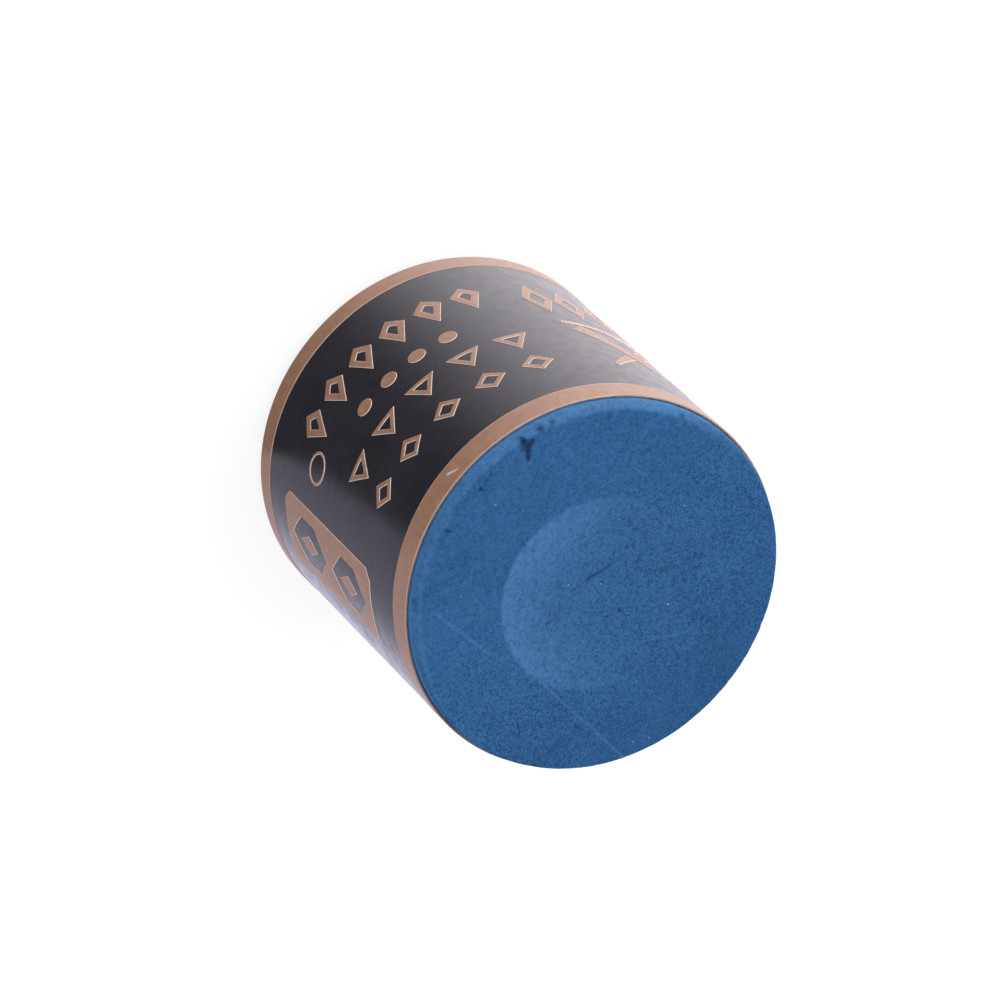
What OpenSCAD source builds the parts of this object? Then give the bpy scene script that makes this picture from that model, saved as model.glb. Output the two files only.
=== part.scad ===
// Round cue chalk for pool and snooker, in millimetres.
// A pressed chalk cylinder stands on its flat base with the dished working face up.
// A paper label wraps its side, laps over itself at the back and carries copper foil stamping.
// Origin: centre of the base. +Z: towards the working face. -Y: the front of the label.

/* [Chalk block] */
// Diameter of the pressed chalk
chalk_d = 21.7; // [20:0.1:26]
// Height of the chalk from base to working face
chalk_h = 22; // [20.5:0.5:26]
// Radius of the rounded shoulder round the working face
shoulder_r = 0.55; // [0.2:0.05:1]
// Bevel round the base, where the chalk left its mould
foot_bevel = 0.4; // [0.2:0.05:0.8]

/* [Tip dish] */
// Diameter of the shallow dish that meets the cue tip
dish_d = 11.4; // [9:0.1:13]
// Depth of the dish at its centre
dish_depth = 0.75; // [0.4:0.05:1.5]
// How far the dish sits off the chalk's axis, sideways
dish_x = 0.2; // [-0.5:0.05:0.5]
// How far the dish sits off the chalk's axis, towards the back
dish_y = 0.4; // [-0.5:0.05:0.5]

/* [Label] */
// Height of the paper label
label_h = 20.75; // [19:0.05:20.75]
// Bare chalk left below the label
label_foot = 0.65; // [0.45:0.05:1]
// Thickness of the label paper
paper_t = 0.12; // [0.08:0.01:0.2]
// Thickness of the glue under the paper
glue_t = 0.03; // [0.02:0.01:0.05]
// Thickness of the raised copper foil
foil_t = 0.03; // [0.02:0.01:0.05]
// Where the paper's outer edge lies, in degrees from the front towards +X
seam_at = 172; // [155:1:185]
// How far the paper laps over its own inner end, in degrees
lap_sweep = 9; // [5:1:12]

/* [Foil bands] */
// Height of the copper band next to the working face
top_band_h = 1.75; // [1:0.05:2.5]
// Height of the copper band next to the base
bottom_band_h = 1.35; // [1:0.05:2.5]

/* [Foil marks] */
// Stroke of the fine outlined marks
fine_stroke = 0.3; // [0.2:0.02:0.36]
// Stroke of the bold marks
bold_stroke = 0.42; // [0.3:0.02:0.44]
// Stroke of the tall emblem's frame
frame_stroke = 0.85; // [0.6:0.05:1]
// Stroke of the small ring mark
ring_stroke = 0.16; // [0.1:0.02:0.3]
// Height of the outlined lozenges in the first row
lozenge_h = 1.9; // [1.4:0.1:2.2]
// Height of the outlined triangles in the second row
triangle_h = 1.85; // [1.4:0.1:2.2]
// Diameter of the solid dots in the third row
dot_d = 1.1; // [0.6:0.1:1.6]
// Height of the bold points in the fourth row
point_h = 2.9; // [2.2:0.1:3.2]
// Diameter of the small ring mark
ring_d = 1.9; // [1.4:0.1:2]
// Height of the tall framed emblem
tall_h = 12.1; // [10:0.1:12.5]
// Width of the tall framed emblem
tall_w = 4.6; // [4.2:0.1:5.2]
// Width of the crossed cues emblem
cues_w = 6.6; // [5:0.1:7]
// Height of the crossed cues emblem
cues_h = 5.8; // [5:0.1:6]
// Height of the outlined diamonds in the row under the crossed cues
diamond_h = 4; // [3:0.1:4.2]
// Diameter of each ball in the rack emblem
ball_d = 1.15; // [0.8:0.05:1.2]

/* [Hidden] */
$fn = 96;

chalk_r = chalk_d / 2;
label_top = label_foot + label_h;
paper_in = chalk_r + glue_t; // inner radius of the paper
paper_out = paper_in + paper_t; // outer radius of the paper, and of the label
lap_in = paper_out + glue_t; // inner radius of the lap that covers the inner end
lap_out = lap_in + paper_t;
glue_inset = 0.3; // the glue stops this far short of the label's edges
seam_gap = 0.5; // angle between the paper's inner end and the step of the lap
step_sweep = 1; // angle of the step where the paper climbs over its inner end
inner_end = seam_at - lap_sweep; // angle where the paper's inner end lies
step_end = inner_end - seam_gap;
step_start = step_end - step_sweep;
full_turn = 360;
wedge_reach = 2 * chalk_d; // long enough for a wedge to cross the whole plan
stamp_reach = 1; // how far a stamp's prism reaches to each side of the label's face

// Heights of the mark rows' centres, measured down from the label's top edge
lozenge_row_z = label_top - 5.65;
triangle_row_z = label_top - 8.65;
dot_row_z = label_top - 11.8;
point_row_z = label_top - 15.15;
ring_row_z = label_top - 13.5;
tall_emblem_z = label_top - 11.05;
cues_emblem_z = label_top - 7.7;
rule_row_z = label_top - 11.1;
diamond_row_z = label_top - 14.5;
rack_emblem_z = label_top - 10.6;

// Angles of the marks, in degrees from the front towards +X
row_pitch = 15;
row_count = 5;
dot_pitch = 10.5;
dot_count = 4;
point_pitch = 12;
point_count = 6;
point_w = 1.75;
point_belly = 0.18; // how far below its middle a point is widest, as a share of its height
triangle_aspect = 1.1; // width of a triangle to its height
ring_at = 39.75;
tall_emblem_at = 65;
cues_emblem_at = -67;
rack_emblem_at = -126;
tall_corner = 0.6; // cut off each corner of the tall emblem
window_count = 2;
inlay_w_share = 0.42; // width of an inlay to the width of its window
inlay_h_share = 0.5; // height of an inlay to the height of its window
cue_butt_w = 1.1;
cue_tip_w = 0.35;
cross_gap = 0.2; // bare label left on each side of the cue on top
diamond_count = 4;
diamond_pitch = 11;
diamond_w = 1.9;
rack_rows = 5;
rack_pitch = 1.3;
rack_gap = 0.35; // bare label between the balls and the frame round them
row_rise = rack_pitch * sqrt(3) / 2;

chalk_colour = [0.17, 0.34, 0.53];
glue_colour = [0.86, 0.82, 0.66];
paper_colour = [0.12, 0.11, 0.13];
foil_colour = [0.74, 0.55, 0.44];

// Part of a tube, between two angles measured from the front towards +X
module tube_sector(r_in, r_out, z_low, z_high, at, sweep) {
    rotate([0, 0, at - 90])
        rotate_extrude(angle = sweep)
            translate([r_in, z_low])
                square([r_out - r_in, z_high - z_low]);
}

// A whole tube
module tube(r_in, r_out, z_low, z_high) {
    rotate_extrude()
        translate([r_in, z_low])
            square([r_out - r_in, z_high - z_low]);
}

// Foil film in the outline of the children, where each child is a prism that crosses the label
module foil_film() {
    color(foil_colour)
        intersection() {
            tube(paper_out, paper_out + foil_t, label_foot, label_top);
            children();
        }
}

// Prism of a flat outline that passes out through the label at one angle and height
module stamp(at, z) {
    rotate([0, 0, at])
        translate([0, stamp_reach - paper_out, z])
            rotate([90, 0, 0])
                linear_extrude(2 * stamp_reach)
                    children();
}

// One outline repeated at equal angles about a middle angle
module stamp_row(count, pitch, middle, z) {
    for (i = [0 : count - 1])
        stamp(middle + (i - (count - 1) / 2) * pitch, z)
            children();
}

module lozenge(w, h) {
    polygon([[-w / 2, 0], [0, -h / 2], [w / 2, 0], [0, h / 2]]);
}

// Size of a lozenge whose sides lie one stroke inside the sides of a w by h lozenge
function inset_lozenge(w, h, stroke) = (1 - 2 * stroke * norm([w, h]) / (w * h)) * [w, h];

module outlined_lozenge(w, h, stroke) {
    inner = inset_lozenge(w, h, stroke);
    difference() {
        lozenge(w, h);
        lozenge(inner[0], inner[1]);
    }
}

// Triangle with its incentre on the origin, so that a scaled copy keeps an even stroke
module incentred_triangle(w, h, k) {
    r = inradius(w, h);
    polygon([[-w / 2 * k, -r * k], [w / 2 * k, -r * k], [0, (h - r) * k]]);
}

function inradius(w, h) = w * h / (w + 2 * norm([w / 2, h]));

module outlined_triangle(w, h, stroke) {
    r = inradius(w, h);
    translate([0, r - h / 2])
        difference() {
            incentred_triangle(w, h, 1);
            incentred_triangle(w, h, 1 - stroke / r);
        }
}

// Lengths of a kite's upper and lower sides, and the radius and height of its inscribed circle
function kite_upper(w, h) = norm([w / 2, h / 2 - belly(h)]);
function kite_lower(w, h) = norm([w / 2, h / 2 + belly(h)]);
function kite_inradius(w, h) = w * h / 2 / (kite_upper(w, h) + kite_lower(w, h));
function kite_incentre(w, h) = h / 2 - kite_inradius(w, h) * kite_upper(w, h) / (w / 2);
function belly(h) = -point_belly * h; // height of a kite's widest place

// Kite scaled about its incentre, so that a smaller copy keeps an even stroke
module kite(w, h, k) {
    y = kite_incentre(w, h);
    translate([0, y])
        polygon([
            [0, (h / 2 - y) * k], [-w / 2 * k, (belly(h) - y) * k],
            [0, (-h / 2 - y) * k], [w / 2 * k, (belly(h) - y) * k],
        ]);
}

// Outlined kite like the inlaid points of a cue butt
module outlined_kite(w, h, stroke) {
    difference() {
        kite(w, h, 1);
        kite(w, h, 1 - stroke / kite_inradius(w, h));
    }
}

// Upright hexagon with pointed ends that slope at 45 degrees
module long_hexagon(w, h) {
    flat = h / 2 - w / 2;
    polygon([
        [0, h / 2], [-w / 2, flat], [-w / 2, -flat],
        [0, -h / 2], [w / 2, -flat], [w / 2, flat],
    ]);
}

// Upright rectangle with its corners cut off
module cut_panel(w, h, cut) {
    polygon([
        [-w / 2 + cut, -h / 2], [w / 2 - cut, -h / 2], [w / 2, -h / 2 + cut], [w / 2, h / 2 - cut],
        [w / 2 - cut, h / 2], [-w / 2 + cut, h / 2], [-w / 2, h / 2 - cut], [-w / 2, -h / 2 + cut],
    ]);
}

// Panel with a column of pointed windows, and a lozenge inlaid in each of them
module windowed_panel(w, h, stroke) {
    window_w = w - 2 * stroke;
    window_h = (h - stroke) / window_count - stroke;
    heights = [for (i = [0 : window_count - 1]) (i - (window_count - 1) / 2) * (window_h + stroke)];
    difference() {
        cut_panel(w, h, tall_corner);
        for (y = heights)
            translate([0, y])
                long_hexagon(window_w, window_h);
    }
    for (y = heights)
        translate([0, y])
            lozenge(window_w * inlay_w_share, window_h * inlay_h_share);
}

// Tapered cue along Y: a wide butt at the bottom and a narrow tip at the top
module cue(length, butt_w, tip_w) {
    polygon([
        [-butt_w / 2, -length / 2], [butt_w / 2, -length / 2],
        [tip_w / 2, length / 2], [-tip_w / 2, length / 2],
    ]);
}

// Two cues crossed, the second one broken where the first passes over it
module crossed_cues(w, h) {
    lean = atan2(w - cue_butt_w, h);
    length = norm([w - cue_butt_w, h]) - cue_butt_w / 2;
    rotate(lean)
        cue(length, cue_butt_w, cue_tip_w);
    difference() {
        rotate(-lean)
            cue(length, cue_butt_w, cue_tip_w);
        rotate(lean)
            cue(2 * length, cue_butt_w + 2 * cross_gap, cue_tip_w + 2 * cross_gap);
    }
}

// Balls of a full rack, widest row at the bottom
module ball_rack() {
    for (row = [0 : rack_rows - 1], i = [0 : row])
        translate([(i - row / 2) * rack_pitch, ((rack_rows - 1) / 2 - row) * row_rise])
            circle(d = ball_d);
}

module chalk_block() {
    bowl_r = (pow(dish_d / 2, 2) + pow(dish_depth, 2)) / (2 * dish_depth);
    color(chalk_colour)
        difference() {
            rotate_extrude() {
                polygon([
                    [0, 0], [chalk_r - foot_bevel, 0], [chalk_r, foot_bevel],
                    [chalk_r, chalk_h - shoulder_r], [0, chalk_h - shoulder_r],
                ]);
                square([chalk_r - shoulder_r, chalk_h]);
                translate([chalk_r - shoulder_r, chalk_h - shoulder_r])
                    intersection() {
                        circle(shoulder_r);
                        square(shoulder_r);
                    }
            }
            translate([dish_x, dish_y, chalk_h - dish_depth + bowl_r])
                sphere(bowl_r);
        }
}

module adhesive_layer() {
    low = label_foot + glue_inset;
    high = label_top - glue_inset;
    color(glue_colour) {
        tube(chalk_r, paper_in, low, high);
        tube_sector(paper_out, lap_in, low, high, inner_end, lap_sweep - seam_gap);
    }
}

// Plan of a ring, cut to the angles between one direction and another
module plan_sector(r_in, r_out, at, sweep) {
    intersection() {
        difference() {
            circle(r_out);
            circle(r_in);
        }
        wedge(at, sweep);
    }
}

// Plan of a wedge narrower than half a turn, with its point on the axis
module wedge(at, sweep) {
    rotate(at - 90)
        polygon([[0, 0], [wedge_reach, 0], wedge_reach * [cos(sweep), sin(sweep)]]);
}

// One strip of paper: a turn round the chalk, a step up, and a lap over its own inner end
module label_wrap() {
    color(paper_colour)
        translate([0, 0, label_foot])
            linear_extrude(label_h) {
                difference() {
                    circle(paper_out);
                    circle(paper_in);
                    wedge(step_end, seam_gap);
                }
                plan_sector(paper_in, lap_out, step_start, step_sweep);
                plan_sector(lap_in, lap_out, step_start, seam_at - step_start);
            }
}

// Copper band that follows the paper round, up the step and over the lap
module foil_band(z_low, z_high) {
    open_sweep = full_turn + step_start - seam_at - seam_gap;
    color(foil_colour) {
        tube_sector(paper_out, paper_out + foil_t, z_low, z_high, seam_at + seam_gap, open_sweep);
        tube_sector(lap_out, lap_out + foil_t, z_low, z_high, step_start, seam_at - step_start);
    }
}

module top_foil_band() {
    foil_band(label_top - top_band_h, label_top);
}

module bottom_foil_band() {
    foil_band(label_foot, label_foot + bottom_band_h);
}

module lozenge_row_foil() {
    foil_film()
        stamp_row(row_count, row_pitch, 0, lozenge_row_z)
            outlined_lozenge(lozenge_h, lozenge_h, fine_stroke);
}

module triangle_row_foil() {
    foil_film()
        stamp_row(row_count, row_pitch, 0, triangle_row_z)
            outlined_triangle(triangle_h * triangle_aspect, triangle_h, fine_stroke);
}

module dot_row_foil() {
    foil_film()
        stamp_row(dot_count, dot_pitch, 0, dot_row_z)
            circle(d = dot_d);
}

module point_row_foil() {
    foil_film()
        stamp_row(point_count, point_pitch, 0, point_row_z)
            outlined_kite(point_w, point_h, bold_stroke);
}

module ring_mark_foil() {
    foil_film()
        stamp(ring_at, ring_row_z)
            difference() {
                circle(d = ring_d);
                circle(d = ring_d - 2 * ring_stroke);
            }
}

// Upright panel with a lozenge inlaid in each of its windows
module tall_emblem_foil() {
    foil_film()
        stamp(tall_emblem_at, tall_emblem_z)
            windowed_panel(tall_w, tall_h, frame_stroke);
}

// Crossed cues over a thin rule and a row of tall diamonds
module cues_emblem_foil() {
    foil_film() {
        stamp(cues_emblem_at, cues_emblem_z)
            crossed_cues(cues_w, cues_h);
        stamp(cues_emblem_at, rule_row_z)
            square([cues_w, fine_stroke], center = true);
        stamp_row(diamond_count, diamond_pitch, cues_emblem_at, diamond_row_z)
            outlined_lozenge(diamond_w, diamond_h, bold_stroke);
    }
}

// Rack of balls inside a thin triangular frame
module rack_emblem_foil() {
    rack_inradius = (rack_rows - 1) * rack_pitch / (2 * sqrt(3));
    frame_h = 3 * (rack_inradius + ball_d / 2 + rack_gap + fine_stroke);
    lift = frame_h / 6 - (rack_rows - 1) * row_rise / 6; // brings the incentres together
    foil_film() {
        stamp(rack_emblem_at, rack_emblem_z)
            ball_rack();
        stamp(rack_emblem_at, rack_emblem_z + lift)
            outlined_triangle(frame_h * 2 / sqrt(3), frame_h, fine_stroke);
    }
}

chalk_block();
adhesive_layer();
label_wrap();
top_foil_band();
bottom_foil_band();
lozenge_row_foil();
triangle_row_foil();
dot_row_foil();
point_row_foil();
ring_mark_foil();
tall_emblem_foil();
cues_emblem_foil();
rack_emblem_foil();
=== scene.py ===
"""Looks of a round cue chalk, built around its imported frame: pressed chalk, paper label, copper foil."""
import math
from itertools import product

import bmesh
import bpy
import numpy as np
from mathutils import Matrix, Vector


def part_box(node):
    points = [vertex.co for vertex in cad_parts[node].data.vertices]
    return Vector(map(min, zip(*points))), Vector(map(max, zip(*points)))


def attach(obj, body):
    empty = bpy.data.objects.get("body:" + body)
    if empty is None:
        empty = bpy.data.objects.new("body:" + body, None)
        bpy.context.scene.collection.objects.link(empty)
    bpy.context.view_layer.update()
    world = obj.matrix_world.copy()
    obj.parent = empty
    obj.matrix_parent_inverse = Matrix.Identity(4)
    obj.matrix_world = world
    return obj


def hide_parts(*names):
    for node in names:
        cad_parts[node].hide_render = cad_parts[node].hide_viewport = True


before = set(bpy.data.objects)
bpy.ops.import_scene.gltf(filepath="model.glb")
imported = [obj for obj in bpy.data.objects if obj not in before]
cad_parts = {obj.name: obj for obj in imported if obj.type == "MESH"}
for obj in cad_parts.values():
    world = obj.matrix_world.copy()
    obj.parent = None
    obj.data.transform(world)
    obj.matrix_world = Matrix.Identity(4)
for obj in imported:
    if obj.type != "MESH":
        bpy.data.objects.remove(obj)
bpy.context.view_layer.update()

# Shapes are worked out in millimetres and stored in metres.
MM = 0.001
SEED = 11
rng = np.random.default_rng(SEED)


# ---------------------------------------------------------------- sizes

def span_mm(node):
    """Lowest and highest corner of a CAD node, in millimetres."""
    low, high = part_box(node)
    return np.array(low) / MM, np.array(high) / MM


chalk_low, chalk_high = span_mm("chalk_block")
label_low, label_high = span_mm("label_wrap")
glue_low, glue_high = span_mm("adhesive_layer")

CHALK_R = (chalk_high[0] - chalk_low[0]) / 2
CHALK_H = chalk_high[2]
SHOULDER_R = 0.55
FOOT_BEVEL = 0.4
PAPER_IN = -glue_low[0]  # the glue ends where the paper starts
LABEL_R = -label_low[0]
PAPER_T = LABEL_R - PAPER_IN
GLUE_T = PAPER_IN - CHALK_R
LABEL_FOOT, LABEL_TOP = label_low[2], label_high[2]
LAP_IN = LABEL_R + GLUE_T

# Angles are in degrees from the front of the label (-Y) towards +X.
SEAM_AT = 172
LAP_SWEEP = 9
INNER_END = SEAM_AT - LAP_SWEEP
OUTER_END = SEAM_AT + 360
CLIMB_START, CLIMB_END = INNER_END + 357, INNER_END + 359.6

DISH_R = 5.7
DISH_DEPTH = 0.75
DISH_X, DISH_Y = 0.2, 0.4

# The camera looks from this side, so marks on the chalk's face are placed by it.
CAMERA_SIDE = 7


def on_cylinder(angle, radius, z):
    """Points at angles in degrees from the front, at a radius and height."""
    turn = np.radians(angle)
    return np.stack(np.broadcast_arrays(radius * np.sin(turn), -radius * np.cos(turn), z), -1)


def smooth(x, low, high):
    """0 below low, 1 above high, and an easy slope between them."""
    t = np.clip((x - low) / (high - low), 0, 1)
    return t * t * (3 - 2 * t)


def lattice_noise(points, cell, seed):
    """Smooth noise from -1 to 1 at points (N, 3), on a lattice of the given cell size.

    Each corner's value is a hash of its place and the seed, mixed with large odd numbers.
    """
    place = points / cell + 4096.0
    corner0 = np.floor(place).astype(np.int64)
    part = place - corner0
    part = part * part * (3 - 2 * part)
    total = np.zeros(len(points))
    for corner in product((0, 1), repeat=3):
        at = corner0 + corner
        mixed = (at[:, 0] * 73856093) ^ (at[:, 1] * 19349663) ^ (at[:, 2] * 83492791)
        mixed = (mixed ^ (seed * 2654435761)) & 0xFFFFFFFF
        mixed = ((mixed ^ (mixed >> 15)) * 2246822519) & 0xFFFFFFFF
        mixed = ((mixed ^ (mixed >> 13)) * 3266489917) & 0xFFFFFFFF
        value = ((mixed ^ (mixed >> 16)) & 0xFFFF) / 32767.5 - 1
        weight = np.prod(np.where(corner, part, 1 - part), axis=1)
        total += value * weight
    return total


def noise_sum(points, *layers):
    """Sum of (cell size, height) layers of noise."""
    return sum(height * lattice_noise(points, cell, SEED + i) for i, (cell, height) in enumerate(layers))


# ---------------------------------------------------------------- meshes

def add_object(name, data):
    thing = bpy.data.objects.new(name, data)
    bpy.context.scene.collection.objects.link(thing)
    return thing


def mesh_piece(name, vertices, faces, material, nodes, attributes=None):
    """A mesh piece given in millimetres, which rides on the body and stands for CAD nodes."""
    mesh = bpy.data.meshes.new(name)
    mesh.from_pydata((np.asarray(vertices) * MM).tolist(), [], faces)
    for key, values in (attributes or {}).items():
        attribute = mesh.attributes.new(key, "FLOAT", "POINT")
        attribute.data.foreach_set("value", np.asarray(values, np.float32))
    mesh.validate()
    return finish_piece(name, mesh, material, nodes)


def finish_piece(name, mesh, material, nodes):
    """Object of a mesh, shaded smooth, on the one body, in place of its CAD nodes."""
    mesh.polygons.foreach_set("use_smooth", [True] * len(mesh.polygons))
    mesh.materials.append(material)
    piece = add_object(name, mesh)
    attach(piece, "root")
    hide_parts(*nodes)
    return piece


def ring_start(ring):
    """Index of the first point of a ring in a disc whose rings hold 6, 12, 18... points."""
    return 0 if ring == 0 else 1 + 3 * ring * (ring - 1)


def disc_points(rings, radius):
    """Points of a disc in rings, so that all its triangles are about the same size."""
    points = [np.zeros((1, 2))]
    for ring in range(1, rings + 1):
        turn = np.arange(6 * ring) * (math.pi / 3 / ring)
        points.append(radius * ring / rings * np.stack([np.cos(turn), np.sin(turn)], 1))
    return np.concatenate(points)


def disc_faces(rings, first, up):
    """Triangles of disc_points, whose first point has index first, facing up or down."""
    faces = []
    for ring in range(1, rings + 1):
        outer, inner = first + ring_start(ring), first + ring_start(ring - 1)
        outer_n, inner_n = 6 * ring, max(6 * (ring - 1), 1)
        for side, step in product(range(6), range(ring)):
            a = outer + side * ring + step
            b = outer + (side * ring + step + 1) % outer_n
            c = inner + (side * (ring - 1) + step) % inner_n
            faces.append((a, b, c) if up else (c, b, a))
            if step < ring - 1:
                d = inner + (side * (ring - 1) + step + 1) % inner_n
                faces.append((b, d, c) if up else (c, d, b))
    return faces


def skirt_faces(upper, lower, count):
    """Quads that join a ring of points to the ring below it, facing outwards."""
    step = np.arange(count)
    after = (step + 1) % count
    return np.stack([upper + step, lower + step, lower + after, upper + after], 1).tolist()


def thinning_faces(upper, lower, lower_n):
    """Triangles that join a ring to one below it with a third of its points."""
    faces = []
    for i in range(lower_n):
        u = [upper + (3 * i + k) % (3 * lower_n) for k in range(4)]
        a, b = lower + i, lower + (i + 1) % lower_n
        faces += [(u[0], a, u[1]), (u[1], a, b), (u[1], b, u[2]), (u[2], b, u[3])]
    return faces


def sheet_faces(stations, rows):
    """Faces of a closed sheet from an outer grid of points and then an inner one, station by station."""
    def grid(offset):
        i, j = np.meshgrid(np.arange(stations - 1), np.arange(rows - 1), indexing="ij")
        a = offset + i * rows + j
        return np.stack([a, a + rows, a + rows + 1, a + 1], -1).reshape(-1, 4)

    inner = stations * rows
    along = np.arange(stations - 1) * rows
    across = np.arange(rows - 1)
    last = (stations - 1) * rows
    top = along + rows - 1
    faces = [
        grid(0),
        grid(inner)[:, ::-1],
        np.stack([top, top + rows, inner + top + rows, inner + top], 1),
        np.stack([inner + along, inner + along + rows, along + rows, along], 1),
        np.stack([across, across + 1, inner + across + 1, inner + across], 1),
        np.stack([inner + last + across, inner + last + across + 1, last + across + 1, last + across], 1),
    ]
    return np.concatenate(faces).tolist()


# ---------------------------------------------------------------- chalk

TOP_RINGS = 144
BASE_RINGS = TOP_RINGS // 3
SHOULDER_STEPS = 12


def on_face(across, near):
    """Place on the working face, from shares of the label's radius.

    near counts towards the side that the camera looks from, and across is square to it.
    """
    turn = math.radians(CAMERA_SIDE)
    x = across * math.cos(turn) + near * math.sin(turn)
    y = across * math.sin(turn) - near * math.cos(turn)
    return np.array([x, y]) * LABEL_R


def facing(flat, side):
    """Cosine between a flat point's direction and a side of the face, given as (across, near)."""
    way = on_face(*side)
    return (flat @ way) / np.linalg.norm(way) / np.maximum(np.linalg.norm(flat, axis=1), 0.1)


def stroke_share(flat, start, end, width, thin=0.0):
    """1 along the line between two flat points, fading across its width, and thinner towards its end."""
    a, b = np.array(start), np.array(end)
    along = np.clip(((flat - a) @ (b - a)) / ((b - a) @ (b - a)), 0, 1)
    gap = np.linalg.norm(flat - a - along[:, None] * (b - a), axis=1)
    return (1 - thin * along) * np.exp(-((gap / (width * (1 - thin * along))) ** 2))


# The shoulder is worn round and pale with dust on one side of the face, and still crisp on the other,
# which also stands a little higher. Towards the side that faces the light it also gets a painted
# highlight.
WORN_SIDE = (-0.16, 0.99)
LIT_SHOULDER_SIDE = (-0.65, 0.76)
CRISP_SHARE = 0.25
FAR_RISE = 0.08

# Marks of use on the working face: start and end in on_face's measure, width and depth in mm
FACE_STROKES = [
    ((-0.270, 0.915), (-0.222, 0.815), 0.14, 0.22),  # chip in the shoulder, wide above and pointed below
    ((-0.298, 0.872), (-0.262, 0.868), 0.13, 0.12),
    ((-0.282, 0.885), (-0.242, 0.835), 0.14, 0.14),
    ((-0.262, 0.905), (-0.240, 0.900), 0.09, 0.08),
    ((0.048, 0.90), (0.046, 0.885), 0.11, 0.13),  # pit beside the shoulder
    ((0.31, 0.865), (0.29, 0.85), 0.12, 0.09),
    ((0.0, 0.02), (-0.125, -0.005), 0.13, 0.055),  # dark score across the middle of the dish
    ((0.10, 0.045), (0.0, 0.025), 0.08, 0.025),
    ((-0.03, -0.04), (-0.05, -0.075), 0.07, 0.04),
    ((0.0, -0.235), (0.0, -0.255), 0.1, 0.06),
    ((-0.22, -0.15), (-0.34, -0.22), 0.05, 0.025),  # scuffs in the dish
    ((-0.25, -0.20), (-0.33, -0.27), 0.05, 0.022),
    ((0.30, 0.03), (0.24, 0.0), 0.12, 0.03),
]
# Pale hairlines, from end to end
HAIRLINES = [
    ((0.53, -0.14), (0.52, -0.86)),
    ((0.64, 0.60), (0.605, 0.18)),
    ((-0.16, -0.58), (0.04, -0.44)),
]
PIT_COUNT = 130
NICK_COUNT = 16
# Crumbs lost along the inner edge of the shoulder: how many, round which angle, over what sweep
CRUMB_COUNT, CRUMB_AT, CRUMB_SPAN = 34, 21, 60


def chalk_skeleton():
    """Points, outward directions and faces of the plain chalk, before its relief."""
    flat_r = CHALK_R - SHOULDER_R
    top = disc_points(TOP_RINGS, flat_r)
    points = [np.column_stack([top, np.full(len(top), CHALK_H)])]
    outward = [np.tile([0.0, 0.0, 1.0], (len(top), 1))]
    faces = disc_faces(TOP_RINGS, 0, up=True)
    upper, total = ring_start(TOP_RINGS), len(top)

    def ring(count, radius, z, tilt):
        """Ring of points, with outward directions tilted up by an angle in radians."""
        turn = np.arange(count) * (2 * math.pi / count)
        points.append(np.stack([radius * np.cos(turn), radius * np.sin(turn), np.full(count, z)], 1))
        lean = np.full(count, math.sin(tilt))
        outward.append(np.stack([math.cos(tilt) * np.cos(turn), math.cos(tilt) * np.sin(turn), lean], 1))

    rim_n = 6 * TOP_RINGS
    tilts = [math.pi / 2 * (1 - (i + 1) / SHOULDER_STEPS) for i in range(SHOULDER_STEPS)]
    rings = [(flat_r + SHOULDER_R * math.cos(tilt), CHALK_H - SHOULDER_R * (1 - math.sin(tilt)), tilt)
             for tilt in tilts]
    rings += [(CHALK_R, z, 0.0) for z in (LABEL_TOP - 0.06, LABEL_TOP - 0.4)]
    for radius, z, tilt in rings:
        ring(rim_n, radius, z, tilt)
        faces += skirt_faces(upper, total, rim_n)
        upper, total = total, total + rim_n
    foot_n = 6 * BASE_RINGS
    ring(foot_n, CHALK_R, LABEL_TOP - 1.2, 0.0)
    faces += thinning_faces(upper, total, foot_n)
    upper, total = total, total + foot_n
    # The side down to the base, and its bevel: radius, height, tilt
    foot = [
        (CHALK_R, CHALK_H / 2, 0.0),
        (CHALK_R, LABEL_FOOT + 0.3, 0.0),
        (CHALK_R, FOOT_BEVEL + 0.06, -0.1),
        (CHALK_R - 0.04, FOOT_BEVEL - 0.06, -0.5),
        (CHALK_R - FOOT_BEVEL / 2, FOOT_BEVEL / 2, -0.8),
        (CHALK_R - FOOT_BEVEL + 0.06, 0.05, -1.1),
    ]
    for radius, z, tilt in foot:
        ring(foot_n, radius, z, tilt)
        faces += skirt_faces(upper, total, foot_n)
        upper, total = total, total + foot_n
    base = disc_points(BASE_RINGS, CHALK_R - FOOT_BEVEL)
    points.append(np.column_stack([base, np.zeros(len(base))]))
    outward.append(np.tile([0.0, 0.0, -1.0], (len(base), 1)))
    faces += disc_faces(BASE_RINGS, total, up=False)
    faces += skirt_faces(upper, total + ring_start(BASE_RINGS), foot_n)
    return np.concatenate(points), np.concatenate(outward), faces


def worn_round(flat):
    """1 where the shoulder is fully worn round, 0 where it is still crisp."""
    return smooth(facing(flat, WORN_SIDE), -0.1, 0.6)


def crisp_edge(points):
    """The same points, with a tighter and slightly higher shoulder where it is little worn."""
    flat_r = CHALK_R - SHOULDER_R
    reach = np.linalg.norm(points[:, :2], axis=1)
    on_shoulder = points[:, 2] > CHALK_H - SHOULDER_R - 0.001
    saved = SHOULDER_R * (1 - CRISP_SHARE) * (1 - worn_round(points[:, :2])) * on_shoulder
    out = saved * (1 - np.clip((reach - flat_r) / SHOULDER_R, 0, 1)) * smooth(reach, flat_r - 3, flat_r)
    up = saved * (1 - (points[:, 2] - (CHALK_H - SHOULDER_R)) / SHOULDER_R)
    far = -facing(points[:, :2], WORN_SIDE) * reach / CHALK_R
    up += FAR_RISE * smooth(far, 0.0, 1.0) * on_shoulder
    spread = (1 + out / np.maximum(reach, 0.1))[:, None]
    return np.column_stack([points[:, :2] * spread, points[:, 2] + up])


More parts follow.
